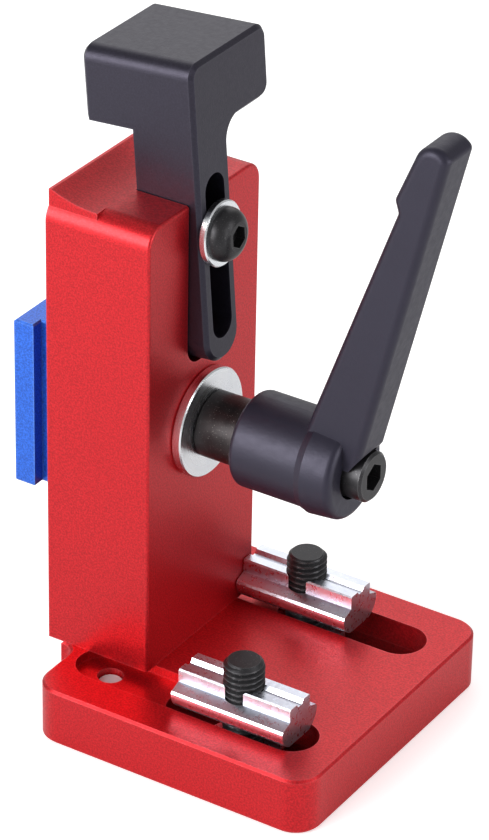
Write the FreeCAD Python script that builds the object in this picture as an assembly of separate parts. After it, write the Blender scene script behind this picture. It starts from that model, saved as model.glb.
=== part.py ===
"""Sliding fence bracket with a drop stop, clamped to a T-track by a ratchet lever.

Millimetres. Z = 0 is the plate's underside, Y = 0 the plane through the upright
and the clamp axis, and X = 0 the upright's front face, where the lever is.
The track side of the upright looks along -X.
"""
import FreeCAD, Part
import math
import os

V = FreeCAD.Vector
X_AXIS = V(1, 0, 0)
Y_AXIS = V(0, 1, 0)
Z_AXIS = V(0, 0, 1)

# ---- driving dimensions ----------------------------------------------------
# plate
PLATE_THICK = 12.0
PLATE_WIDTH = 66.2
PLATE_MIDDLE_Y = -1.15
PLATE_FRONT_X = 45.8
WING_BACK_X = -16.4
TONGUE_BACK_X = -20.0
TONGUE_WIDTH = 38.0
PLATE_CORNER_R = 5.5
NOTCH_R = 2.8
PLATE_EDGE_BREAK = 0.5

# upright
UPRIGHT_THICK = 23.0
UPRIGHT_WIDTH = 37.6
UPRIGHT_HEIGHT = 95.5
UPRIGHT_SHOULDER_R = 4.2
LIP_RISE = 2.1
LIP_SETBACK = 1.1
LIP_FOOT_X = -12.2
LIP_TOP_THICK = 0.6
FRONT_RIM_R = 0.6

# slots for the fence clamps
SLOT_HALF_SPACING = 19.9
SLOT_WIDTH = 10.6
SLOT_BACK_X = -14.0
SLOT_FRONT_X = 39.7
POCKET_DEPTH = 2.0
POCKET_FRONT_X = 7.0
PIN_DIA = 5.2
PIN_X = -6.9
PIN_SUNK = 1.2

# hardware: M8, M6 and plain washers
M8 = 8.0
M6 = 6.0
M8_HEAD_DIA = 14.0
M8_HEAD_HIGH = 4.4
M8_SOCKET = 5.0
M6_BUTTON_DIA = 10.5
M6_BUTTON_HIGH = 3.3
M6_BUTTON_SOCKET = 4.0
M6_CAP_DIA = 10.0
M6_CAP_HIGH = 6.0
M6_CAP_SOCKET = 5.0
UNDER_WASHER_DIA = 16.0
UNDER_WASHER_THICK = 1.6
STOP_WASHER_DIA = 12.8
STOP_WASHER_THICK = 1.5
CLAMP_WASHER_DIA = 22.0
CLAMP_WASHER_THICK = 2.0
WASHER_EDGE_BREAK = 0.25

# fence clamps: T nuts over the plate, screws up from below
NUT_LENGTH = 25.0
NUT_WIDTH = 12.2
NUT_WIDEST_Z = 4.0
NUT_WING_HIGH = 4.5
NUT_LEDGE_HIGH = 0.9
NUT_HEIGHT = 8.2
NUT_NECK_WIDTH = 7.0
NUT_NECK_GROOVE = 2.4
NUT_NECK_GROOVE_DEEP = 0.8
NUT_FOOT_WIDTH = 6.8
FRONT_NUT_X = 23.6
REAR_NUT_X = 12.7
FRONT_SCREW_PROUD = 5.0
REAR_SCREW_PROUD = 4.3

# drop stop
STOP_LEAN = 4.5
GROOVE_WIDTH = 11.4
GROOVE_DEPTH = 11.8
GROOVE_LENGTH = 35.0
GROOVE_CORNER_R = 4.0
STEM_WIDTH = 10.9
STEM_THICK = 13.8
STEM_BELOW_TOP = 34.5
STEM_SLOT_WIDTH = 6.4
STEM_SLOT_TOP = 0.6
STEM_SLOT_BOTTOM = -26.6
HEAD_BOTTOM = 12.1
HEAD_HEIGHT = 14.65
HEAD_BACK_REACH = 10.45
HEAD_SIDE_REACH = 14.4
HEAD_CORNER_R = 2.8
HEAD_UNDER_R = 4.0
HEAD_EDGE_BREAK = 0.8
STOP_SCREW_DOWN = 8.1
STOP_SCREW_GRIP = 8.0

# clamp: stud, lever and track slider
CLAMP_Z = 47.5
COLLAR_DIA = 13.2
COLLAR_LENGTH = 9.4
HUB_DIA = 19.2
SEAM_X = 26.3
FLARE_LENGTH = 1.5
BOSS_DIA = 20.4
BOSS_END_DIA = 19.4
BOSS_END_X = 34.0
BOSS_END_R = 1.5
WEB_END_X = 22.2
MOUTH_BORE_DIA = 11.1
WEB_THICK = 2.2
LEVER_SPLINE_TEETH = 24
SPLINE_DIA = 11.6
SPLINE_DEEP = 0.55
SPLINE_LENGTH = 3.6
INSERT_NECK_DIA = 9.8
LEVER_SCREW_PROUD = 4.0
ARM_THICK = 9.8
ARM_TIP_Z = 73.3
ARM_EDGE_R = 1.6
STUD_LENGTH_IN_INSERT = 7.0
SPRING_DIA = 9.4
SPRING_WIRE = 1.0
SPRING_TURNS = 5
SLIDER_GAP = 2.5
SLIDER_NECK_WIDTH = 23.4
SLIDER_NECK_THICK = 3.7
SLIDER_FLANGE_WIDTH = 28.6
SLIDER_FLANGE_THICK = 4.5
SLIDER_LENGTH = 35.6
STUD_TIP_SHORT = 0.8

# clearances
SLIDE_GAP = 0.1
THREAD_GAP = 0.05
CLEAR_HOLE = 0.4
RECESS_GAP = 0.3
SHOULDER_GAP = 0.1

# ---- derived sizes ---------------------------------------------------------
UPRIGHT_TOP_Z = PLATE_THICK + UPRIGHT_HEIGHT
CLAMP_AXIS_Z = PLATE_THICK + CLAMP_Z
RECESS_WIDTH = UNDER_WASHER_DIA + 2 * RECESS_GAP
RECESS_DEEP = M8_HEAD_HIGH + UNDER_WASHER_THICK + RECESS_GAP
NUT_STOP_X = SLOT_FRONT_X - SLOT_WIDTH / 2
NUT_START_X = NUT_LENGTH / 2
COLLAR_END_X = CLAMP_WASHER_THICK + COLLAR_LENGTH
HUB_START_X = COLLAR_END_X + SHOULDER_GAP
WEB_START_X = WEB_END_X - WEB_THICK
INSERT_END_X = WEB_START_X - SHOULDER_GAP
SCREW_HEAD_END_X = BOSS_END_X + LEVER_SCREW_PROUD
SCREW_HEAD_START_X = SCREW_HEAD_END_X - M6_CAP_HIGH
SLIDER_FACE_X = -UPRIGHT_THICK - SLIDER_GAP
SLIDER_SHOULDER_X = SLIDER_FACE_X - SLIDER_NECK_THICK
SLIDER_OUTER_X = SLIDER_SHOULDER_X - SLIDER_FLANGE_THICK
BLOCK_SCREW_X = -UPRIGHT_THICK / 2
BLOCK_SCREW_Y = 8.0
BLOCK_SCREW_GRIP = 12.0


# ---- helpers ---------------------------------------------------------------
def box(x0, x1, y0, y1, z0, z1):
    """A block between two corners."""
    return Part.makeBox(x1 - x0, y1 - y0, z1 - z0, V(x0, y0, z0))


def rod(dia, start, direction, length):
    """A round bar from a point along a direction."""
    return Part.makeCylinder(dia / 2, length, start, direction)


def cone(dia0, dia1, start, direction, length):
    """A tapered round bar."""
    return Part.makeCone(dia0 / 2, dia1 / 2, length, start, direction)


def socket(across, start, direction, depth):
    """A hexagonal key socket, sunk along a direction."""
    corner = across / math.sqrt(3)
    points = []
    for k in range(7):
        turn = math.radians(60 * k)
        points.append(V(corner * math.cos(turn), corner * math.sin(turn), 0))
    prism = Part.Face(Part.makePolygon(points)).extrude(V(0, 0, depth))
    prism.Placement = FreeCAD.Placement(start, FreeCAD.Rotation(Z_AXIS, direction))
    return prism


def edges_along(shape, direction, keep):
    """Straight edges parallel to a direction whose centre passes a test."""
    found = []
    for edge in shape.Edges:
        if edge.Curve.TypeId != "Part::GeomLine":
            continue
        run = edge.Vertexes[-1].Point - edge.Vertexes[0].Point
        if run.Length < 1e-6 or run.normalize().cross(direction).Length > 1e-3:
            continue
        if keep(edge.CenterOfMass):
            found.append(edge)
    return found


def washer(outer, inner, thick, start, direction):
    """A flat washer with broken outer edges."""
    ring = rod(outer, start, direction, thick)
    rims = [e for e in ring.Edges if e.Curve.TypeId == "Part::GeomCircle"]
    ring = ring.makeChamfer(WASHER_EDGE_BREAK, rims)
    return ring.cut(rod(inner, start - direction * thick, direction, 3 * thick))


def pointed_shank(dia, start, direction, length):
    """A screw shank at its nominal diameter, with a chamfered end."""
    tip = dia * 0.12
    body = rod(dia, start, direction, length - tip)
    end = cone(dia, dia - 2 * tip, start + direction * (length - tip), direction, tip)
    return body.fuse(end).removeSplitter()


def button_head(dia, high, seat, direction):
    """A domed head: a dome over a short rim, its flat end about half as wide."""
    rim = high * 0.12
    crown = dia * 0.27
    rise = high - rim
    half = dia / 2
    mid = V(crown + (half - crown) * 0.72, 0, rim + rise * 0.62)
    dome = Part.Arc(V(half, 0, rim), mid, V(crown, 0, high)).toShape()
    edges = [
        Part.makeLine(V(0, 0, 0), V(half, 0, 0)),
        Part.makeLine(V(half, 0, 0), V(half, 0, rim)),
        dome,
        Part.makeLine(V(crown, 0, high), V(0, 0, high)),
        Part.makeLine(V(0, 0, high), V(0, 0, 0)),
    ]
    head = Part.Face(Part.Wire(edges)).revolve(V(0, 0, 0), Z_AXIS, 360)
    head.Placement = FreeCAD.Placement(seat, FreeCAD.Rotation(Z_AXIS, direction))
    return head


def cap_head(dia, high, seat, direction):
    """A cylindrical socket head with a broken outer edge."""
    head = rod(dia, seat, direction, high)
    far = seat + direction * high
    rim = [
        e for e in head.Edges
        if e.Curve.TypeId == "Part::GeomCircle" and (e.Curve.Center - far).Length < 1e-6
    ]
    return head.makeChamfer(dia * 0.05, rim)


def long_hole(x0, x1, y, width, z0, z1):
    """A round-ended slot along X."""
    half = width / 2
    middle = box(x0 + half, x1 - half, y - half, y + half, z0, z1)
    ends = [rod(width, V(x, y, z0), Z_AXIS, z1 - z0) for x in (x0 + half, x1 - half)]
    return middle.fuse(ends).removeSplitter()


# ---- plate -----------------------------------------------------------------
def slot_y(side):
    """Middle of the slot on one side of the plate."""
    return PLATE_MIDDLE_Y + side * SLOT_HALF_SPACING


def plate_outline():
    """Plan of the plate: two wings and a tongue under the upright."""
    y0 = PLATE_MIDDLE_Y - PLATE_WIDTH / 2
    tongue = TONGUE_WIDTH / 2
    plan = box(WING_BACK_X, PLATE_FRONT_X, y0, y0 + PLATE_WIDTH, 0, PLATE_THICK)
    corners = edges_along(plan, Z_AXIS, lambda c: True)
    plan = plan.makeFillet(PLATE_CORNER_R, corners)
    plan = plan.fuse(box(TONGUE_BACK_X, 0, -tongue, tongue, 0, PLATE_THICK)).removeSplitter()
    inner = edges_along(
        plan, Z_AXIS,
        lambda c: abs(c.x - WING_BACK_X) < 0.01 and abs(abs(c.y) - tongue) < 0.01,
    )
    return plan.makeFillet(min(NOTCH_R, WING_BACK_X - TONGUE_BACK_X - 0.4), inner)


def make_base_plate():
    plate = plate_outline()
    rims = [e for e in plate.Edges if abs(e.BoundBox.ZMax - e.BoundBox.ZMin) < 1e-6]
    plate = plate.makeChamfer(PLATE_EDGE_BREAK, rims)
    cuts = []
    for side in (-1, 1):
        y = slot_y(side)
        through_x = NUT_START_X - SLOT_WIDTH / 2 - CLEAR_HOLE
        floor = PLATE_THICK - POCKET_DEPTH
        cuts.append(long_hole(SLOT_BACK_X, SLOT_FRONT_X, y, SLOT_WIDTH, floor, PLATE_THICK + 1))
        cuts.append(long_hole(POCKET_FRONT_X, SLOT_FRONT_X, y, SLOT_WIDTH, -1, PLATE_THICK))
        recess_start = min(through_x, NUT_START_X - RECESS_WIDTH / 2 - CLEAR_HOLE)
        recess_end = NUT_STOP_X + RECESS_WIDTH / 2
        cuts.append(long_hole(recess_start, recess_end, y, RECESS_WIDTH, -1, RECESS_DEEP))
        cuts.append(rod(PIN_DIA, V(PIN_X, y, -1), Z_AXIS, PLATE_THICK + 2))
        seat = V(BLOCK_SCREW_X, side * BLOCK_SCREW_Y, -1)
        cuts.append(rod(M6 + 2 * CLEAR_HOLE, seat, Z_AXIS, PLATE_THICK + 2))
        cuts.append(rod(M6_CAP_DIA + 2 * RECESS_GAP, seat, Z_AXIS, M6_CAP_HIGH + RECESS_GAP + 1))
    return plate.cut(cuts)


def make_slot_pins():
    pins = []
    for side in (-1, 1):
        foot = V(PIN_X, slot_y(side), 0)
        length = PLATE_THICK - POCKET_DEPTH - PIN_SUNK
        pin = rod(PIN_DIA, foot, Z_AXIS, length)
        top = [
            e for e in pin.Edges
            if e.Curve.TypeId == "Part::GeomCircle" and abs(e.Curve.Center.z - length) < 1e-6
        ]
        pins.append(pin.makeChamfer(0.4, top))
    return Part.makeCompound(pins)


def make_block_screws():
    screws = []
    for side in (-1, 1):
        seat = V(BLOCK_SCREW_X, side * BLOCK_SCREW_Y, RECESS_GAP + M6_CAP_HIGH)
        length = PLATE_THICK - seat.z + BLOCK_SCREW_GRIP
        head = cap_head(M6_CAP_DIA, M6_CAP_HIGH, seat, -Z_AXIS)
        head = head.cut(socket(M6_CAP_SOCKET, seat - Z_AXIS * M6_CAP_HIGH, Z_AXIS, 3.0))
        screws.append(head.fuse(pointed_shank(M6, seat, Z_AXIS, length)))
    return Part.makeCompound(screws)


# ---- stop's own leaning frame ----------------------------------------------
def stop_place():
    """Origin on the groove floor at the upright's top, X out of the floor, Z up it."""
    origin = V(-GROOVE_DEPTH, 0, UPRIGHT_TOP_Z)
    return FreeCAD.Placement(origin, FreeCAD.Rotation(Y_AXIS, -STOP_LEAN))


def placed(shape):
    shape.Placement = stop_place().multiply(shape.Placement)
    return shape


def groove_cutter():
    half = GROOVE_WIDTH / 2
    tool = box(0, 3 * GROOVE_DEPTH, -half, half, -GROOVE_LENGTH, GROOVE_LENGTH)
    low = edges_along(tool, X_AXIS, lambda c: c.z < 0)
    return placed(tool.makeFillet(min(GROOVE_CORNER_R, half - 0.1), low))


def raised_lip():
    """The scooped lip along the track side, level with the top at its foot."""
    run = UPRIGHT_THICK + LIP_FOOT_X - LIP_TOP_THICK
    scoop_r = (run ** 2 + LIP_RISE ** 2) / (2 * LIP_RISE)
    foot = V(LIP_FOOT_X, 0, UPRIGHT_TOP_Z)
    crest = V(LIP_FOOT_X - run, 0, UPRIGHT_TOP_Z + LIP_RISE)
    half_turn = math.asin(run / scoop_r) / 2
    mid = foot + V(-scoop_r * math.sin(half_turn), 0, scoop_r * (1 - math.cos(half_turn)))
    low_z = UPRIGHT_TOP_Z - UPRIGHT_SHOULDER_R
    back = V(-UPRIGHT_THICK, 0, crest.z)
    edges = [
        Part.Arc(foot, mid, crest).toShape(),
        Part.makeLine(crest, back),
        Part.makeLine(back, V(-UPRIGHT_THICK, 0, low_z)),
        Part.makeLine(V(-UPRIGHT_THICK, 0, low_z), V(LIP_FOOT_X, 0, low_z)),
        Part.makeLine(V(LIP_FOOT_X, 0, low_z), foot),
    ]
    reach = UPRIGHT_WIDTH / 2 - LIP_SETBACK
    section = Part.Face(Part.Wire(edges))
    section.translate(V(0, -reach, 0))
    return section.extrude(V(0, 2 * reach, 0))


def make_upright_block():
    half = UPRIGHT_WIDTH / 2
    block = box(-UPRIGHT_THICK, 0, -half, half, PLATE_THICK, UPRIGHT_TOP_Z)
    shoulders = edges_along(block, X_AXIS, lambda c: c.z > PLATE_THICK + 1)
    block = block.makeFillet(UPRIGHT_SHOULDER_R, shoulders)
    front_rim = [
        e for e in block.Edges
        if abs(e.BoundBox.XMin) < 1e-6 and abs(e.BoundBox.XMax) < 1e-6
        and e.BoundBox.ZMax > PLATE_THICK + 1
    ]
    block = block.makeFillet(FRONT_RIM_R, front_rim)
    block = block.fuse(raised_lip()).removeSplitter()
    cuts = [
        groove_cutter(),
        rod(M8 + 2 * CLEAR_HOLE, V(1, 0, CLAMP_AXIS_Z), -X_AXIS, UPRIGHT_THICK + 2),
        placed(rod(M6 + 2 * THREAD_GAP, V(1, 0, -STOP_SCREW_DOWN), -X_AXIS, STOP_SCREW_GRIP + 2)),
    ]
    for side in (-1, 1):
        foot = V(BLOCK_SCREW_X, side * BLOCK_SCREW_Y, PLATE_THICK - 1)
        cuts.append(rod(M6, foot, Z_AXIS, BLOCK_SCREW_GRIP + 2))
    return block.cut(cuts)


# ---- drop stop -------------------------------------------------------------
def make_stop_slide():
    half = STEM_WIDTH / 2
    back = SLIDE_GAP
    front = STEM_THICK
    top = HEAD_BOTTOM + HEAD_HEIGHT
    stem = box(back, front, -half, half, -STEM_BELOW_TOP, HEAD_BOTTOM + 1)
    foot = edges_along(stem, X_AXIS, lambda c: c.z < 0)
    stem = stem.makeFillet(half - 0.1, foot)
    head = box(-HEAD_BACK_REACH, front, -half, half + HEAD_SIDE_REACH, HEAD_BOTTOM, top)
    slide = stem.fuse(head).removeSplitter()
    inner = edges_along(
        slide, X_AXIS,
        lambda c: abs(c.y - half) < 0.01 and abs(c.z - HEAD_BOTTOM) < 0.01,
    )
    slide = slide.makeFillet(HEAD_UNDER_R, inner)
    outer = edges_along(
        slide, X_AXIS,
        lambda c: c.z > HEAD_BOTTOM + 1 or (c.y > half + HEAD_SIDE_REACH - 0.01 and c.z > 0),
    )
    slide = slide.makeFillet(HEAD_CORNER_R, outer)
    rim = [
        e for e in slide.Edges
        if e.BoundBox.XMax - e.BoundBox.XMin < 1e-6
        and (abs(e.BoundBox.XMin - front) < 1e-6 or abs(e.BoundBox.XMin + HEAD_BACK_REACH) < 1e-6)
    ]
    slide = slide.makeChamfer(HEAD_EDGE_BREAK, rim)
    slot_half = STEM_SLOT_WIDTH / 2
    slot = box(-20, 20, -slot_half, slot_half, STEM_SLOT_BOTTOM, STEM_SLOT_TOP)
    for z in (STEM_SLOT_BOTTOM, STEM_SLOT_TOP):
        slot = slot.fuse(rod(STEM_SLOT_WIDTH, V(-20, 0, z), X_AXIS, 40))
    slide = slide.cut(slot.removeSplitter())
    return placed(slide)


def make_stop_washer():
    start = V(STEM_THICK, 0, -STOP_SCREW_DOWN)
    return placed(washer(STOP_WASHER_DIA, M6 + 2 * THREAD_GAP, STOP_WASHER_THICK, start, X_AXIS))


def make_stop_screw():
    seat = V(STEM_THICK + STOP_WASHER_THICK, 0, -STOP_SCREW_DOWN)
    head = button_head(M6_BUTTON_DIA, M6_BUTTON_HIGH, seat, X_AXIS)
    end = seat + X_AXIS * M6_BUTTON_HIGH
    head = head.cut(socket(M6_BUTTON_SOCKET, end, -X_AXIS, 2.0))
    shank = pointed_shank(M6, seat, -X_AXIS, seat.x + STOP_SCREW_GRIP)
    return placed(head.fuse(shank).removeSplitter())


# ---- fence clamps ----------------------------------------------------------
def nut_half_outline(side):
    """Edges of one half of the section, from the foot's middle up to the groove's floor."""
    foot = NUT_FOOT_WIDTH / 2
    wing = NUT_WIDTH / 2
    neck = NUT_NECK_WIDTH / 2
    groove = NUT_NECK_GROOVE / 2
    belly = V(0, side * (foot + (wing - foot) * 0.72), NUT_WIDEST_Z * 0.36)
    corners = [
        (wing, NUT_WIDEST_Z),
        (wing - 0.25, NUT_WING_HIGH),
        (neck, NUT_WING_HIGH + NUT_LEDGE_HIGH),
        (neck, NUT_HEIGHT - 0.3),
        (neck - 0.3, NUT_HEIGHT),
        (groove, NUT_HEIGHT),
        (groove * 0.5, NUT_HEIGHT - NUT_NECK_GROOVE_DEEP),
        (0, NUT_HEIGHT - NUT_NECK_GROOVE_DEEP),
    ]
    points = [V(0, side * y, z) for y, z in corners]
    edges = [
        Part.makeLine(V(0, 0, 0), V(0, side * foot, 0)),
        Part.Arc(V(0, side * foot, 0), belly, points[0]).toShape(),
    ]
    return edges + [Part.makeLine(p, q) for p, q in zip(points, points[1:])]


def make_t_nut(x, side):
    """A T nut with its narrow neck up, drilled and threaded through for an M8 screw."""
    outline = Part.Wire(Part.__sortEdges__(nut_half_outline(1) + nut_half_outline(-1)))
    body = Part.Face(outline).extrude(V(NUT_LENGTH, 0, 0))
    body.translate(V(-NUT_LENGTH / 2, 0, 0))
    body = body.removeSplitter()
    body = body.cut(rod(M8 + 2 * THREAD_GAP, V(0, 0, -1), Z_AXIS, NUT_HEIGHT + 2))
    body.translate(V(x, slot_y(side), PLATE_THICK))
    return body


def make_t_screw(x, side, proud):
    seat = V(x, slot_y(side), RECESS_DEEP - UNDER_WASHER_THICK)
    head = button_head(M8_HEAD_DIA, M8_HEAD_HIGH, seat, -Z_AXIS)
    end = seat - Z_AXIS * M8_HEAD_HIGH
    head = head.cut(socket(M8_SOCKET, end, Z_AXIS, 2.6))
    length = PLATE_THICK + NUT_HEIGHT + proud - seat.z
    return head.fuse(pointed_shank(M8, seat, Z_AXIS, length)).removeSplitter()


def make_under_washer(x, side):
    start = V(x, slot_y(side), RECESS_DEEP - UNDER_WASHER_THICK)
    return washer(UNDER_WASHER_DIA, M8 + 2 * THREAD_GAP, UNDER_WASHER_THICK, start, Z_AXIS)


# ---- clamp -----------------------------------------------------------------
def on_axis(x):
    return V(x, 0, CLAMP_AXIS_Z)


def spline_prism(dia, x0, x1):
    """A serrated round bar, one vee tooth per pitch."""
    points = []
    for k in range(2 * LEVER_SPLINE_TEETH):
        r = dia / 2 if k % 2 == 0 else dia / 2 - SPLINE_DEEP
        turn = math.pi * k / LEVER_SPLINE_TEETH
        points.append(on_axis(x0) + V(0, r * math.cos(turn), r * math.sin(turn)))
    points.append(points[0])
    return Part.Face(Part.makePolygon(points)).extrude(V(x1 - x0, 0, 0))


def make_clamp_washer():
    bore = M8 + 2 * CLEAR_HOLE
    return washer(CLAMP_WASHER_DIA, bore, CLAMP_WASHER_THICK, on_axis(0), X_AXIS)


def make_clamp_stud():
    start = CLAMP_WASHER_THICK + STUD_LENGTH_IN_INSERT
    length = start - SLIDER_OUTER_X - STUD_TIP_SHORT
    return pointed_shank(M8, on_axis(start), -X_AXIS, length)


def make_lever_insert():
    collar = rod(COLLAR_DIA, on_axis(CLAMP_WASHER_THICK), X_AXIS, COLLAR_LENGTH)
    rims = [e for e in collar.Edges if e.Curve.TypeId == "Part::GeomCircle"]
    collar = collar.makeChamfer(0.4, rims)
    neck = rod(INSERT_NECK_DIA, on_axis(COLLAR_END_X - 1), X_AXIS, INSERT_END_X - COLLAR_END_X + 1)
    teeth = spline_prism(SPLINE_DIA, INSERT_END_X - SPLINE_LENGTH, INSERT_END_X)
    insert = collar.fuse([neck, teeth]).removeSplitter()
    stud_hole = rod(M8, on_axis(0), X_AXIS, CLAMP_WASHER_THICK + STUD_LENGTH_IN_INSERT)
    screw_start = CLAMP_WASHER_THICK + STUD_LENGTH_IN_INSERT + 1.2
    screw_hole = rod(M6, on_axis(screw_start), X_AXIS, INSERT_END_X - screw_start + 1)
    return insert.cut([stud_hole, screw_hole])


def make_lever_screw():
    seat = on_axis(SCREW_HEAD_START_X)
    head = cap_head(M6_CAP_DIA, M6_CAP_HIGH, seat, X_AXIS)
    head = head.cut(socket(M6_CAP_SOCKET, on_axis(SCREW_HEAD_END_X), -X_AXIS, 3.4))
    reach = CLAMP_WASHER_THICK + STUD_LENGTH_IN_INSERT + 1.6
    shank = pointed_shank(M6, seat, -X_AXIS, SCREW_HEAD_START_X - reach)
    return head.fuse(shank).removeSplitter()


def make_lever_spring():
    """A round-wire coil around the retaining screw, from the web to the screw head."""
    start = WEB_END_X + SPRING_WIRE / 2 + SHOULDER_GAP
    end = SCREW_HEAD_START_X - SPRING_WIRE / 2 - SHOULDER_GAP
    radius = (SPRING_DIA - SPRING_WIRE) / 2
    helix = Part.makeHelix((end - start) / SPRING_TURNS, end - start, radius)
    section = Part.Wire(Part.makeCircle(SPRING_WIRE / 2, V(radius, 0, 0), Y_AXIS))
    coil = Part.Wire(helix.Edges).makePipeShell([section], True, True)
    coil.Placement = FreeCAD.Placement(on_axis(start), FreeCAD.Rotation(Z_AXIS, X_AXIS))
    return coil


def arm_blank():
    """The lever's blade: wide at the hub, waisted, with a thicker grip and a domed end."""
    half = ARM_THICK / 2
    z = CLAMP_AXIS_Z
    tip_z = z + ARM_TIP_Z
    back = [
        V(BOSS_END_X - 9.5, -half, z),
        V(25.2, -half, z + 8.0),
        V(43.2, -half, z + 58.6),
        V(42.4, -half, z + 61.2),
        V(46.3, -half, tip_z - 2.6),
    ]
    front = [
        V(53.4, -half, tip_z - 2.0),
        V(BOSS_END_X + 3.6, -half, z + 6.0),
        V(BOSS_END_X - 0.6, -half, z),
    ]
    dome = Part.Arc(back[-1], V(50.2, -half, tip_z), front[0]).toShape()
    edges = [Part.makeLine(p, q) for p, q in zip(back, back[1:])]
    edges.append(dome)
    edges += [Part.makeLine(p, q) for p, q in zip(front, front[1:] + back[:1])]
    return Part.Face(Part.Wire(edges)).extrude(V(0, ARM_THICK, 0))


def end_circles(shape, x):
    """Round edges of a turned piece at one station along the clamp axis."""
    return [
        e for e in shape.Edges
        if e.Curve.TypeId == "Part::GeomCircle" and abs(e.Curve.Center.x - x) < 1e-6
    ]


def make_lever_handle():
    arm = arm_blank()
    grip = edges_along(arm, Y_AXIS, lambda c: c.z > CLAMP_AXIS_Z + 57)
    arm = arm.makeFillet(1.1, grip)
    rims = [e for e in arm.Edges if abs(abs(e.CenterOfMass.y) - ARM_THICK / 2) < 1e-6]
    rims = [e for e in rims if e.BoundBox.ZMax > CLAMP_AXIS_Z + 20]
    arm = arm.makeFillet(ARM_EDGE_R, rims)
    hub = rod(HUB_DIA, on_axis(HUB_START_X), X_AXIS, SEAM_X - HUB_START_X)
    hub = hub.makeFillet(1.2, end_circles(hub, HUB_START_X))
    flare = cone(HUB_DIA + 0.3, BOSS_DIA, on_axis(SEAM_X), X_AXIS, FLARE_LENGTH)
    boss_start = SEAM_X + FLARE_LENGTH
    boss = cone(BOSS_DIA, BOSS_END_DIA, on_axis(boss_start), X_AXIS, BOSS_END_X - boss_start)
    boss = boss.makeFillet(BOSS_END_R, end_circles(boss, BOSS_END_X))
    body = hub.fuse([flare, boss, arm]).removeSplitter()
    spline_start = INSERT_END_X - SPLINE_LENGTH
    cuts = [
        rod(MOUTH_BORE_DIA, on_axis(WEB_END_X), X_AXIS, BOSS_END_X - WEB_END_X + 10),
        rod(M6 + 2 * CLEAR_HOLE, on_axis(HUB_START_X), X_AXIS, WEB_END_X),
        rod(SPLINE_DIA + 2 * CLEAR_HOLE, on_axis(HUB_START_X - 1), X_AXIS, spline_start - HUB_START_X + 1),
        spline_prism(SPLINE_DIA + 4 * SHOULDER_GAP, spline_start, WEB_START_X),
    ]
    return body.cut(cuts)


def make_track_slider():
    half_length = SLIDER_LENGTH / 2
    z0 = CLAMP_AXIS_Z - half_length
    z1 = CLAMP_AXIS_Z + half_length
    flange = SLIDER_FLANGE_WIDTH / 2
    neck = SLIDER_NECK_WIDTH / 2
    slider = box(SLIDER_OUTER_X, SLIDER_SHOULDER_X, -flange, flange, z0, z1)
    slider = slider.fuse(box(SLIDER_SHOULDER_X - 1, SLIDER_FACE_X, -neck, neck, z0, z1))
    slider = slider.removeSplitter()
    rims = [e for e in slider.Edges if abs(abs(e.CenterOfMass.z - CLAMP_AXIS_Z) - half_length) < 1e-6]
    slider = slider.makeChamfer(0.35, rims)
    return slider.cut(rod(M8 + 2 * THREAD_GAP, on_axis(SLIDER_OUTER_X - 1), X_AXIS, 20))


# ---- write the pieces ------------------------------------------------------
PIECES = {
    "base_plate": make_base_plate(),
    "slot_pins": make_slot_pins(),
    "block_screws": make_block_screws(),
    "upright_block": make_upright_block(),
    "stop_slide": make_stop_slide(),
    "stop_washer": make_stop_washer(),
    "stop_screw": make_stop_screw(),
    "front_t_nut": make_t_nut(FRONT_NUT_X, -1),
    "front_t_screw": make_t_screw(FRONT_NUT_X, -1, FRONT_SCREW_PROUD),
    "front_under_washer": make_under_washer(FRONT_NUT_X, -1),
    "rear_t_nut": make_t_nut(REAR_NUT_X, 1),
    "rear_t_screw": make_t_screw(REAR_NUT_X, 1, REAR_SCREW_PROUD),
    "rear_under_washer": make_under_washer(REAR_NUT_X, 1),
    "clamp_washer": make_clamp_washer(),
    "clamp_stud": make_clamp_stud(),
    "lever_insert": make_lever_insert(),
    "lever_screw": make_lever_screw(),
    "lever_spring": make_lever_spring(),
    "lever_handle": make_lever_handle(),
    "track_slider": make_track_slider(),
}

os.makedirs("parts", exist_ok=True)
for name, shape in PIECES.items():
    shape.exportStep("parts/" + name + ".step")
    size = shape.BoundBox
    print(
        name, len(shape.Solids), "solid(s)", "valid" if shape.isValid() else "INVALID",
        round(shape.Volume, 1),
        [round(v, 2) for v in (size.XMin, size.YMin, size.ZMin, size.XMax, size.YMax, size.ZMax)],
    )
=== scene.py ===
"""Looks of the sliding fence bracket: anodised aluminium, zinc plate, black steel and a coated lever.

Metres, in the same frame as the solids: Z = 0 is the plate's underside, X points
out of the upright towards the lever.
"""

import math

import bmesh
import bpy
from mathutils import Matrix, Vector


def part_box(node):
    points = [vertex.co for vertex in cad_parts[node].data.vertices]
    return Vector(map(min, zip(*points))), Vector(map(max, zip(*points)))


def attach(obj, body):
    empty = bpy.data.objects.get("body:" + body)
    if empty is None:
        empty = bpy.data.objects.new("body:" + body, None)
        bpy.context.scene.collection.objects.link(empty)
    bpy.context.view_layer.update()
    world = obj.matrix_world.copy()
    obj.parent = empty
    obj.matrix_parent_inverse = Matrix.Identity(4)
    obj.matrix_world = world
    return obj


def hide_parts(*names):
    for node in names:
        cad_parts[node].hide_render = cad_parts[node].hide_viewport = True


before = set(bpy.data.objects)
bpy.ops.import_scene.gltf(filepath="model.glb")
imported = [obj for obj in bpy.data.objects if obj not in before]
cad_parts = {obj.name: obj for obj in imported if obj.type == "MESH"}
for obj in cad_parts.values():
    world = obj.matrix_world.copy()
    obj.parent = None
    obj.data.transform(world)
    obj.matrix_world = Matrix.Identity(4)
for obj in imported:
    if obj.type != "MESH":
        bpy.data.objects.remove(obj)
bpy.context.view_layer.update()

MM = 0.001
X_AXIS = Vector((1, 0, 0))
Y_AXIS = Vector((0, 1, 0))
Z_AXIS = Vector((0, 0, 1))

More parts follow.
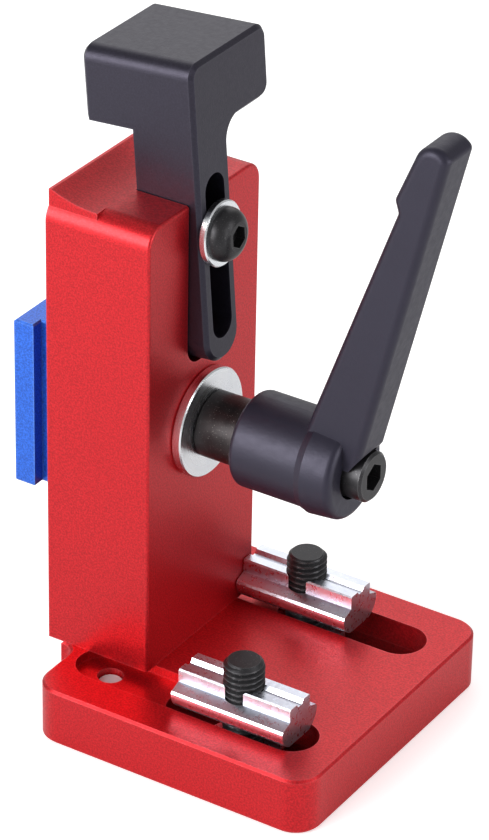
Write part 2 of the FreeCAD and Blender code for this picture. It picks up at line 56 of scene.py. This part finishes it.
# ---- sizes that the drawn pieces share with the bought hardware --------------
M8 = 8.0 * MM
M8_PITCH = 1.25 * MM
M8_DEPTH = 0.72 * MM
M8_HEAD_HIGH = 4.4 * MM
M8_SOCKET = 5.0 * MM
SOCKET_DEEP = 2.6 * MM
SOCKET_CHAMFER = 0.25 * MM
SOCKET_MOUTH_SHARE = 0.62
CROWN_SHARE = 0.27
DOME_SHARE = 0.88
DOME_STEPS = 10
HEAD_EDGE_BREAK = 0.1 * MM
THREAD_RUNOUT = 0.2 * MM
STUD_RUNOUT = 0.1 * MM
THREAD_ROWS_PER_TURN = 14
THREAD_SEGMENTS = 64
CREST_SHARE = 0.12
FLANK_SHARE = 0.74
TIP_CHAMFER = 0.9 * MM


# ---- camera -----------------------------------------------------------------
AIM = Vector((7.34, 3.17, 60.27)) * MM
CAMERA_AZIMUTH = math.radians(32.15)
CAMERA_ELEVATION = math.radians(30.28)
CAMERA_ROLL = math.radians(1.11)
CAMERA_DISTANCE = 0.7815
CAMERA_LENS = 176.26


def add_camera():
    """A long lens from the front left, a little tilted, as a catalogue shot is taken."""
    back = Vector((
        math.sin(CAMERA_AZIMUTH) * math.cos(CAMERA_ELEVATION),
        -math.cos(CAMERA_AZIMUTH) * math.cos(CAMERA_ELEVATION),
        math.sin(CAMERA_ELEVATION),
    ))
    level = Z_AXIS.cross(back).normalized()
    upward = back.cross(level)
    right = level * math.cos(CAMERA_ROLL) + upward * math.sin(CAMERA_ROLL)
    up = upward * math.cos(CAMERA_ROLL) - level * math.sin(CAMERA_ROLL)
    turn = Matrix((right, up, back)).transposed().to_4x4()
    data = bpy.data.cameras.new("catalogue_camera")
    data.lens = CAMERA_LENS
    data.clip_start = 0.02
    data.clip_end = 20.0
    camera = bpy.data.objects.new("catalogue_camera", data)
    camera.matrix_world = Matrix.Translation(AIM + back * CAMERA_DISTANCE) @ turn
    bpy.context.collection.objects.link(camera)
    bpy.context.scene.camera = camera


# ---- floor and lights ---------------------------------------------------------
FLOOR_HALF = 3.0
FLOOR_DROP = 0.2 * MM
PAPER_GLOW = 0.45
ROOM_GLOW = 0.42
BACKDROP_GLOW = 1.2


def add_floor():
    mesh = bpy.data.meshes.new("pale_floor")
    half = FLOOR_HALF
    corners = [(-half, -half, 0), (half, -half, 0), (half, half, 0), (-half, half, 0)]
    mesh.from_pydata(corners, [], [(0, 1, 2, 3)])
    floor = bpy.data.objects.new("pale_floor", mesh)
    floor.location.z = -FLOOR_DROP
    bpy.context.collection.objects.link(floor)
    material, nodes, links, shader = new_material("pale_paper")
    fibre = place_group(nodes, GRAIN, Grain=900.0, Cloud=12.0)
    paper = mix_colours(nodes, links, fibre.outputs["Mottle"], (0.90, 0.90, 0.90), (0.94, 0.94, 0.94))
    links.new(paper, shader.inputs["Base Color"])
    shader.inputs["Roughness"].default_value = 0.9
    shader.inputs["Specular IOR Level"].default_value = 0.1
    seen = nodes.new("ShaderNodeLightPath").outputs["Is Camera Ray"]
    shader.inputs["Emission Color"].default_value = (1.0, 1.0, 1.0, 1)
    links.new(math_node(nodes, links, "MULTIPLY", seen, PAPER_GLOW), shader.inputs["Emission Strength"])
    mesh.materials.append(material)


def softbox(name, place, aim, width, height, power):
    """A rectangular area light that faces a point."""
    data = bpy.data.lights.new(name, "AREA")
    data.shape = "RECTANGLE"
    data.size = width
    data.size_y = height
    data.energy = power
    light = bpy.data.objects.new(name, data)
    light.location = place
    light.rotation_mode = "QUATERNION"
    light.rotation_quaternion = (Vector(aim) - Vector(place)).to_track_quat("-Z", "Y")
    bpy.context.collection.objects.link(light)


def add_lights():
    """Large soft sources: a strong one in front on the left, one by the lever, a weak one behind."""
    middle = (0.0, 0.0, 0.06)
    softbox("key_softbox", (-0.40, -0.95, 0.45), middle, 0.8, 0.7, 14.0)
    softbox("back_softbox", (-0.55, 0.90, 0.72), middle, 1.3, 0.9, 4.0)
    softbox("side_softbox", (1.0, 0.10, 0.30), middle, 0.7, 0.8, 6.5)
    world = bpy.data.worlds.new("white_studio")
    bpy.context.scene.world = world
    world.use_nodes = True
    nodes, links = world.node_tree.nodes, world.node_tree.links
    ground = nodes["Background"]
    ground.inputs["Color"].default_value = (1.0, 1.0, 1.0, 1)
    seen = nodes.new("ShaderNodeLightPath").outputs["Is Camera Ray"]
    lifted = math_node(nodes, links, "MULTIPLY", seen, BACKDROP_GLOW - ROOM_GLOW)
    links.new(math_node(nodes, links, "ADD", lifted, ROOM_GLOW), ground.inputs["Strength"])


# ---- node helpers -------------------------------------------------------------
def new_material(name):
    material = bpy.data.materials.new(name)
    material.use_nodes = True
    nodes = material.node_tree.nodes
    return material, nodes, material.node_tree.links, nodes["Principled BSDF"]


def new_group(name, inputs, outputs):
    """An empty shader node group with its sockets."""
    group = bpy.data.node_groups.new(name, "ShaderNodeTree")
    kinds = {"value": "NodeSocketFloat", "vector": "NodeSocketVector"}
    for label, kind, default in inputs:
        socket = group.interface.new_socket(label, in_out="INPUT", socket_type=kinds[kind])
        socket.default_value = default
    for label, kind in outputs:
        group.interface.new_socket(label, in_out="OUTPUT", socket_type=kinds[kind])
    start = group.nodes.new("NodeGroupInput")
    end = group.nodes.new("NodeGroupOutput")
    return group, group.nodes, group.links, start, end


def math_node(nodes, links, operation, a, b=None, clamp=False):
    node = nodes.new("ShaderNodeMath")
    node.operation = operation
    node.use_clamp = clamp
    for index, value in enumerate((a, b)):
        if value is None:
            continue
        if isinstance(value, (int, float)):
            node.inputs[index].default_value = value
        else:
            links.new(value, node.inputs[index])
    return node.outputs[0]


def noise_node(nodes, links, vector, scale, detail=2.0, roughness=0.5):
    node = nodes.new("ShaderNodeTexNoise")
    node.inputs["Detail"].default_value = detail
    node.inputs["Roughness"].default_value = roughness
    links.new(vector, node.inputs["Vector"])
    if isinstance(scale, (int, float)):
        node.inputs["Scale"].default_value = scale
    else:
        links.new(scale, node.inputs["Scale"])
    return node.outputs["Fac"]


def mix_colours(nodes, links, factor, first, second):
    node = nodes.new("ShaderNodeMix")
    node.data_type = "RGBA"
    links.new(factor, node.inputs["Factor"])
    for socket, value in ((node.inputs["A"], first), (node.inputs["B"], second)):
        if isinstance(value, tuple):
            socket.default_value = (*value, 1)
        else:
            links.new(value, socket)
    return node.outputs["Result"]


def place_group(nodes, group, **values):
    node = nodes.new("ShaderNodeGroup")
    node.node_tree = group
    for label, value in values.items():
        node.inputs[label.replace("_", " ")].default_value = value
    return node


# ---- effects shared by the finishes --------------------------------------------
def blasted_grain_group():
    """Fine bead-blasted pits with a slow mottle: Height for bumps, Mottle for colour."""
    group, nodes, links, start, end = new_group(
        "blasted_grain",
        [("Grain", "value", 2600.0), ("Cloud", "value", 60.0)],
        [("Height", "value"), ("Mottle", "value"), ("Speck", "value")],
    )
    place = nodes.new("ShaderNodeTexCoord").outputs["Object"]
    pits = noise_node(nodes, links, place, start.outputs["Grain"], 3.0, 0.6)
    cloud = noise_node(nodes, links, place, start.outputs["Cloud"], 4.0, 0.55)
    coarse = math_node(nodes, links, "MULTIPLY", start.outputs["Grain"], 0.37)
    speck = noise_node(nodes, links, place, coarse, 1.0, 0.4)
    links.new(pits, end.inputs["Height"])
    links.new(cloud, end.inputs["Mottle"])
    links.new(speck, end.inputs["Speck"])
    return group


def edge_highlight_group():
    """A painted highlight: a thin light line where the surface turns a corner, broken up by noise."""
    group, nodes, links, start, end = new_group(
        "edge_highlight",
        [("Width", "value", 0.0005), ("Strength", "value", 1.0)],
        [("Mask", "value")],
    )
    bevel = nodes.new("ShaderNodeBevel")
    bevel.samples = 4
    links.new(start.outputs["Width"], bevel.inputs["Radius"])
    geometry = nodes.new("ShaderNodeNewGeometry")
    dot = nodes.new("ShaderNodeVectorMath")
    dot.operation = "DOT_PRODUCT"
    links.new(bevel.outputs["Normal"], dot.inputs[0])
    links.new(geometry.outputs["Normal"], dot.inputs[1])
    turned = math_node(nodes, links, "SUBTRACT", 1.0, dot.outputs["Value"], clamp=True)
    sharp = math_node(nodes, links, "MULTIPLY", turned, 9.0, clamp=True)
    place = nodes.new("ShaderNodeTexCoord").outputs["Object"]
    broken = noise_node(nodes, links, place, 900.0, 2.0)
    kept = math_node(nodes, links, "MULTIPLY", sharp, broken)
    mask = math_node(nodes, links, "MULTIPLY", kept, start.outputs["Strength"], clamp=True)
    links.new(mask, end.inputs["Mask"])
    return group


def turned_rings_group():
    """Fine tool rings about a line along X, by radius and by length."""
    group, nodes, links, start, end = new_group(
        "turned_rings",
        [("Centre", "vector", (0, 0, 0)), ("Fineness", "value", 5200.0)],
        [("Height", "value"), ("Tone", "value")],
    )
    place = nodes.new("ShaderNodeTexCoord").outputs["Object"]
    away = nodes.new("ShaderNodeVectorMath")
    away.operation = "SUBTRACT"
    links.new(place, away.inputs[0])
    links.new(start.outputs["Centre"], away.inputs[1])
    parts = nodes.new("ShaderNodeSeparateXYZ")
    links.new(away.outputs["Vector"], parts.inputs[0])
    y2 = math_node(nodes, links, "MULTIPLY", parts.outputs["Y"], parts.outputs["Y"])
    z2 = math_node(nodes, links, "MULTIPLY", parts.outputs["Z"], parts.outputs["Z"])
    radius = math_node(nodes, links, "SQRT", math_node(nodes, links, "ADD", y2, z2))
    ring = nodes.new("ShaderNodeCombineXYZ")
    links.new(radius, ring.inputs["X"])
    links.new(parts.outputs["X"], ring.inputs["Y"])
    lines = noise_node(nodes, links, ring.outputs["Vector"], start.outputs["Fineness"], 2.0, 0.7)
    broad = math_node(nodes, links, "MULTIPLY", start.outputs["Fineness"], 0.14)
    tone = noise_node(nodes, links, ring.outputs["Vector"], broad, 2.0, 0.6)
    links.new(lines, end.inputs["Height"])
    links.new(tone, end.inputs["Tone"])
    return group


def oxide_stain_group():
    """Uneven black oxide: slow patches and fine dusty specks."""
    group, nodes, links, start, end = new_group(
        "oxide_stain",
        [("Patch", "value", 350.0)],
        [("Patches", "value"), ("Specks", "value")],
    )
    place = nodes.new("ShaderNodeTexCoord").outputs["Object"]
    patches = noise_node(nodes, links, place, start.outputs["Patch"], 5.0, 0.6)
    fine = math_node(nodes, links, "MULTIPLY", start.outputs["Patch"], 9.0)
    dots = noise_node(nodes, links, place, fine, 1.0)
    raised = math_node(nodes, links, "SUBTRACT", dots, 0.66, clamp=True)
    specks = math_node(nodes, links, "MULTIPLY", raised, 6.0, clamp=True)
    links.new(patches, end.inputs["Patches"])
    links.new(specks, end.inputs["Specks"])
    return group


def add_bump(nodes, links, shader, height, strength, distance):
    bump = nodes.new("ShaderNodeBump")
    bump.inputs["Strength"].default_value = strength
    bump.inputs["Distance"].default_value = distance
    links.new(height, bump.inputs["Height"])
    links.new(bump.outputs["Normal"], shader.inputs["Normal"])


def ranged(nodes, links, value, low, high):
    """Maps a 0 to 1 mask to a range."""
    node = nodes.new("ShaderNodeMapRange")
    links.new(value, node.inputs["Value"])
    node.inputs["To Min"].default_value = low
    node.inputs["To Max"].default_value = high
    return node.outputs["Result"]


# ---- finishes -------------------------------------------------------------------
GRAIN = blasted_grain_group()
# painted highlight along the corners of a surface, shared by several finishes
EDGE_HIGHLIGHT = edge_highlight_group()
TOOL_RINGS = turned_rings_group()
OXIDE_STAIN = oxide_stain_group()
BLAST_GRAIN = 2600.0
BLAST_BUMP = 0.45


def anodised(name, deep, pale, edge, metallic, rough, coat, sheen=(1, 1, 1)):
    """Bead-blasted aluminium given its colour by dye in the anodising bath, with painted shade in the grain
    pits and a painted highlight on grain peaks and edges.
    """
    material, nodes, links, shader = new_material(name)
    grained = place_group(nodes, GRAIN, Grain=BLAST_GRAIN, Cloud=45.0)
    edge_lit = place_group(nodes, EDGE_HIGHLIGHT, Width=0.0006, Strength=0.55)
    clouded = mix_colours(nodes, links, grained.outputs["Mottle"], deep, pale)
    # painted shade: grain pits are darkened towards the hollow colour
    pit = math_node(nodes, links, "SUBTRACT", grained.outputs["Height"], 0.38, clamp=True)
    # painted highlight: grain peaks are mixed towards the edge colour as a glint
    peak = math_node(nodes, links, "SUBTRACT", grained.outputs["Height"], 0.58, clamp=True)
    shade = math_node(nodes, links, "MULTIPLY", pit, 5.0, clamp=True)
    glint = math_node(nodes, links, "MULTIPLY", peak, 0.5, clamp=True)
    hollow = tuple(0.72 * channel for channel in deep)
    pit_shaded = mix_colours(nodes, links, shade, hollow, clouded)
    glint_highlit = mix_colours(nodes, links, glint, pit_shaded, edge)
    # painted highlight: corners are mixed towards the edge colour
    edge_highlit = mix_colours(nodes, links, edge_lit.outputs["Mask"], glint_highlit, edge)
    links.new(edge_highlit, shader.inputs["Base Color"])
    shader.inputs["Metallic"].default_value = metallic
    links.new(
        ranged(nodes, links, grained.outputs["Speck"], rough - 0.06, rough + 0.08),
        shader.inputs["Roughness"],
    )
    shader.inputs["Specular Tint"].default_value = (*sheen, 1)
    shader.inputs["Coat Weight"].default_value = coat
    shader.inputs["Coat Roughness"].default_value = 0.28
    shader.inputs["Coat IOR"].default_value = 1.6
    add_bump(nodes, links, shader, grained.outputs["Height"], BLAST_BUMP, 0.06 * MM)
    return material


def zinc_plate(name):
    """Bright blue-white plate over drawn steel, faintly clouded."""
    material, nodes, links, shader = new_material(name)
    stain = place_group(nodes, OXIDE_STAIN, Patch=220.0)
    grained = place_group(nodes, GRAIN, Grain=3600.0, Cloud=300.0)
    edge_lit = place_group(nodes, EDGE_HIGHLIGHT, Width=0.0004, Strength=0.8)
    plated = mix_colours(nodes, links, stain.outputs["Patches"], (0.54, 0.57, 0.68), (0.76, 0.78, 0.84))
    # painted highlight: corners are mixed towards near white
    shown = mix_colours(nodes, links, edge_lit.outputs["Mask"], plated, (0.97, 0.97, 0.98))
    links.new(shown, shader.inputs["Base Color"])
    shader.inputs["Metallic"].default_value = 1.0
    links.new(
        ranged(nodes, links, grained.outputs["Speck"], 0.20, 0.40),
        shader.inputs["Roughness"],
    )
    add_bump(nodes, links, shader, grained.outputs["Height"], 0.3, 0.00004)
    return material


def satin_steel(name):
    """Ground dowel ends, pale and dull."""
    material, nodes, links, shader = new_material(name)
    stain = place_group(nodes, OXIDE_STAIN, Patch=420.0)
    ground = mix_colours(nodes, links, stain.outputs["Patches"], (0.62, 0.60, 0.62), (0.86, 0.84, 0.86))
    links.new(ground, shader.inputs["Base Color"])
    shader.inputs["Metallic"].default_value = 0.25
    links.new(ranged(nodes, links, stain.outputs["Patches"], 0.40, 0.60), shader.inputs["Roughness"])
    return material


def turned_zinc(name, centre):
    """Zinc plate over a pressed and faced washer, with fine rings."""
    material, nodes, links, shader = new_material(name)
    rings = place_group(nodes, TOOL_RINGS, Centre=centre, Fineness=2600.0)
    grained = place_group(nodes, GRAIN, Grain=2400.0, Cloud=260.0)
    plated = mix_colours(nodes, links, grained.outputs["Mottle"], (0.78, 0.81, 0.86), (0.93, 0.94, 0.95))
    links.new(plated, shader.inputs["Base Color"])
    shader.inputs["Metallic"].default_value = 1.0
    links.new(ranged(nodes, links, rings.outputs["Tone"], 0.20, 0.34), shader.inputs["Roughness"])
    both = math_node(nodes, links, "ADD", rings.outputs["Height"], grained.outputs["Height"])
    add_bump(nodes, links, shader, both, 0.25, 0.00004)
    return material


def black_oxide(name, rough=0.38):
    """Oiled black oxide steel with a brown cast where it is thin."""
    material, nodes, links, shader = new_material(name)
    stain = place_group(nodes, OXIDE_STAIN, Patch=500.0)
    edge_lit = place_group(nodes, EDGE_HIGHLIGHT, Width=0.0003, Strength=0.5)
    dark = mix_colours(nodes, links, stain.outputs["Patches"], (0.012, 0.012, 0.014), (0.045, 0.043, 0.046))
    dusty = mix_colours(nodes, links, stain.outputs["Specks"], dark, (0.16, 0.155, 0.16))
    # painted highlight: corners are mixed towards pale grey
    shown = mix_colours(nodes, links, edge_lit.outputs["Mask"], dusty, (0.30, 0.30, 0.31))
    links.new(shown, shader.inputs["Base Color"])
    shader.inputs["Metallic"].default_value = 0.65
    links.new(
        ranged(nodes, links, stain.outputs["Patches"], rough - 0.1, rough + 0.12),
        shader.inputs["Roughness"],
    )
    add_bump(nodes, links, shader, stain.outputs["Patches"], 0.2, 0.00005)
    return material


def turned_black(name, centre):
    """Black oxide over a turned collar: rings round the clamp axis."""
    material, nodes, links, shader = new_material(name)
    rings = place_group(nodes, TOOL_RINGS, Centre=centre, Fineness=3400.0)
    stain = place_group(nodes, OXIDE_STAIN, Patch=420.0)
    ringed = mix_colours(nodes, links, rings.outputs["Tone"], (0.010, 0.009, 0.010), (0.035, 0.028, 0.029))
    shown = mix_colours(nodes, links, stain.outputs["Specks"], ringed, (0.22, 0.20, 0.19))
    links.new(shown, shader.inputs["Base Color"])
    shader.inputs["Metallic"].default_value = 0.6
    links.new(ranged(nodes, links, rings.outputs["Tone"], 0.28, 0.46), shader.inputs["Roughness"])
    add_bump(nodes, links, shader, rings.outputs["Height"], 0.35, 0.00006)
    return material


def lever_coat(name):
    """Fine-textured black powder coat on a die casting."""
    material, nodes, links, shader = new_material(name)
    grained = place_group(nodes, GRAIN, Grain=1900.0, Cloud=70.0)
    edge_lit = place_group(nodes, EDGE_HIGHLIGHT, Width=0.0005, Strength=0.25)
    dark, pale = (0.008, 0.007, 0.013), (0.013, 0.012, 0.021)
    coated = mix_colours(nodes, links, grained.outputs["Mottle"], dark, pale)
    # painted highlight: corners are mixed towards dark grey
    shown = mix_colours(nodes, links, edge_lit.outputs["Mask"], coated, (0.07, 0.068, 0.085))
    links.new(shown, shader.inputs["Base Color"])
    shader.inputs["Metallic"].default_value = 0.0
    shader.inputs["Specular Tint"].default_value = (0.82, 0.78, 1.0, 1)
    links.new(
        ranged(nodes, links, grained.outputs["Speck"], 0.36, 0.52),
        shader.inputs["Roughness"],
    )
    add_bump(nodes, links, shader, grained.outputs["Height"], 0.35, 0.00008)
    return material


def spring_wire(name):
    """Drawn wire with a thin grey scale."""
    material, nodes, links, shader = new_material(name)
    stain = place_group(nodes, OXIDE_STAIN, Patch=700.0)
    drawn = mix_colours(nodes, links, stain.outputs["Patches"], (0.25, 0.25, 0.26), (0.50, 0.50, 0.50))
    links.new(drawn, shader.inputs["Base Color"])
    shader.inputs["Metallic"].default_value = 1.0
    links.new(ranged(nodes, links, stain.outputs["Patches"], 0.22, 0.42), shader.inputs["Roughness"])
    return material


# ---- threaded pieces --------------------------------------------------------------
def thread_radius(turns, outer, depth):
    """Radius of a rounded vee thread at a fraction of a turn along it."""
    phase = turns - math.floor(turns)
    wave = abs(2 * phase - 1)
    return outer - depth * min(1.0, max(0.0, (wave - CREST_SHARE) / FLANK_SHARE))


def add_thread_rows(mesh, outer, pitch, depth, z0, z1):
    """Rings of points from z0 up to z1, a right-hand thread that fades into its tip."""
    rings = []
    count = int((z1 - z0) / pitch * THREAD_ROWS_PER_TURN)
    for row in range(count + 1):
        z = z0 + (z1 - z0) * row / count
        envelope = min(outer, outer - TIP_CHAMFER + (z1 - z))
        ring = []
        for k in range(THREAD_SEGMENTS):
            turn = 2 * math.pi * k / THREAD_SEGMENTS
            r = thread_radius(z / pitch - k / THREAD_SEGMENTS, outer, depth)
            r = min(r, envelope)
            ring.append(mesh.verts.new((r * math.cos(turn), r * math.sin(turn), z)))
        rings.append(ring)
    return rings


def plain_ring(mesh, radius, z):
    return [
        mesh.verts.new((
            radius * math.cos(2 * math.pi * k / THREAD_SEGMENTS),
            radius * math.sin(2 * math.pi * k / THREAD_SEGMENTS),
            z,
        ))
        for k in range(THREAD_SEGMENTS)
    ]


def skin_rings(mesh, rings):
    for low, high in zip(rings, rings[1:]):
        for k in range(THREAD_SEGMENTS):
            after = (k + 1) % THREAD_SEGMENTS
            mesh.faces.new((low[k], low[after], high[after], high[k]))


def finish_mesh(mesh, name, place, direction, smooth_angle=35.0):
    """Turns a bmesh built along +Z into an object along a direction, smooth but for its edges."""
    bmesh.ops.recalc_face_normals(mesh, faces=mesh.faces)
    turn = Z_AXIS.rotation_difference(direction).to_matrix().to_4x4()
    bmesh.ops.transform(mesh, matrix=Matrix.Translation(place) @ turn, verts=mesh.verts)
    for edge in mesh.edges:
        if len(edge.link_faces) == 2:
            edge.smooth = edge.calc_face_angle() < math.radians(smooth_angle)
    for face in mesh.faces:
        face.smooth = True
    data = bpy.data.meshes.new(name)
    mesh.to_mesh(data)
    mesh.free()
    piece = bpy.data.objects.new(name, data)
    bpy.context.collection.objects.link(piece)
    return piece


def hex_ring(mesh, across, z):
    """A hexagon as a full ring of points, so that it joins a round one."""
    ring = []
    for k in range(THREAD_SEGMENTS):
        turn = 2 * math.pi * k / THREAD_SEGMENTS
        sector = (turn + math.pi / 6) % (math.pi / 3) - math.pi / 6
        r = across / 2 / math.cos(sector)
        ring.append(mesh.verts.new((r * math.cos(turn), r * math.sin(turn), z)))
    return ring


def button_screw(name, head_end, direction, head_dia, head_high, across, shank_dia, length):
    """A button-head screw drawn from the top of its head along its shank, thread and all."""
    mesh = bmesh.new()
    half = head_dia / 2
    crown = head_dia * CROWN_SHARE
    rings = [hex_ring(mesh, across, SOCKET_DEEP), hex_ring(mesh, across, SOCKET_CHAMFER)]
    rings.append(plain_ring(mesh, across * SOCKET_MOUTH_SHARE, 0.0))
    for step in range(DOME_STEPS + 1):
        share = math.pi / 2 * step / DOME_STEPS
        r = crown + (half - crown) * math.sin(share)
        rings.append(plain_ring(mesh, r, head_high * DOME_SHARE * (1 - math.cos(share))))
    rings.append(plain_ring(mesh, half, head_high - HEAD_EDGE_BREAK))
    rings.append(plain_ring(mesh, half - HEAD_EDGE_BREAK, head_high))
    rings.append(plain_ring(mesh, shank_dia / 2 - M8_DEPTH, head_high))
    end = head_high + length
    rings += add_thread_rows(mesh, shank_dia / 2, M8_PITCH, M8_DEPTH, head_high + THREAD_RUNOUT, end)
    skin_rings(mesh, rings)
    mesh.faces.new(rings[0])
    mesh.faces.new(rings[-1])
    return finish_mesh(mesh, name, head_end, direction)


def threaded_rod(name, start, direction, dia, length):
    """An M8 stud, chamfered at its far end."""
    mesh = bmesh.new()
    rings = [plain_ring(mesh, dia / 2 - M8_DEPTH, 0.0)]
    rings += add_thread_rows(mesh, dia / 2, M8_PITCH, M8_DEPTH, STUD_RUNOUT, length)
    skin_rings(mesh, rings)
    mesh.faces.new(rings[0])
    mesh.faces.new(rings[-1])
    return finish_mesh(mesh, name, start, direction)


def dress_t_screw(node, body, material):
    """One fence clamp screw: head down in the plate, thread up through the nut."""
    low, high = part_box(node)
    centre = (low + high) / 2
    head_dia = high.x - low.x
    length = high.z - low.z - M8_HEAD_HIGH
    screw = button_screw(
        node + "_threaded", Vector((centre.x, centre.y, low.z)), Z_AXIS,
        head_dia, M8_HEAD_HIGH, M8_SOCKET, M8, length,
    )
    screw.data.materials.append(material)
    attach(screw, body)
    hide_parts(node)


def dress_clamp_stud(material):
    low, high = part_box("clamp_stud")
    centre = (low + high) / 2
    stud = threaded_rod(
        "clamp_stud_threaded", Vector((high.x, centre.y, centre.z)), -X_AXIS,
        high.z - low.z, high.x - low.x,
    )
    stud.data.materials.append(material)
    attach(stud, "clamp_core")
    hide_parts("clamp_stud")


def dress_node(node, material):
    """Gives a CAD node its finish."""
    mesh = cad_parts[node].data
    for index in range(len(mesh.materials)):
        mesh.materials[index] = material


def centre_of(node):
    low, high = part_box(node)
    return tuple((low + high) / 2)


# ---- make the scene ------------------------------------------------------------------
add_camera()
add_floor()
add_lights()

# the third colour of each is the painted highlight for edges and grain peaks
RED = anodised(
    "red_anodising", (0.56, 0.006, 0.012), (0.64, 0.010, 0.018), (0.88, 0.14, 0.16),
    metallic=0.76, rough=0.40, coat=0.22,
)
BLACK = anodised(
    "black_anodising", (0.006, 0.005, 0.009), (0.010, 0.009, 0.015), (0.07, 0.068, 0.085),
    metallic=0.0, rough=0.40, coat=0.05, sheen=(0.80, 0.74, 1.0),
)
BLUE = anodised(
    "blue_anodising", (0.010, 0.11, 0.62), (0.02, 0.16, 0.78), (0.25, 0.5, 0.95),
    metallic=0.6, rough=0.36, coat=0.3,
)
ZINC = zinc_plate("zinc_plate")
OXIDE = black_oxide("black_oxide")

for node in ("base_plate", "upright_block"):
    dress_node(node, RED)
dress_node("stop_slide", BLACK)
dress_node("track_slider", BLUE)
for node in ("front_t_nut", "rear_t_nut", "front_under_washer", "rear_under_washer"):
    dress_node(node, ZINC)
dress_node("slot_pins", satin_steel("bright_pin"))
dress_node("stop_washer", turned_zinc("stop_washer_zinc", centre_of("stop_washer")))
dress_node("clamp_washer", turned_zinc("clamp_washer_zinc", centre_of("clamp_washer")))
dress_node("stop_screw", black_oxide("stop_screw_oxide", 0.34))
dress_node("lever_screw", black_oxide("lever_screw_oxide", 0.30))
dress_node("block_screws", OXIDE)
dress_node("lever_insert", turned_black("turned_black", centre_of("lever_insert")))
dress_node("lever_handle", lever_coat("lever_coat"))
dress_node("lever_spring", spring_wire("spring_wire"))
dress_t_screw("front_t_screw", "front_screw_body", OXIDE)
dress_t_screw("rear_t_screw", "rear_screw_body", OXIDE)
dress_clamp_stud(ZINC)

bpy.context.scene.view_settings.view_transform = "Standard"
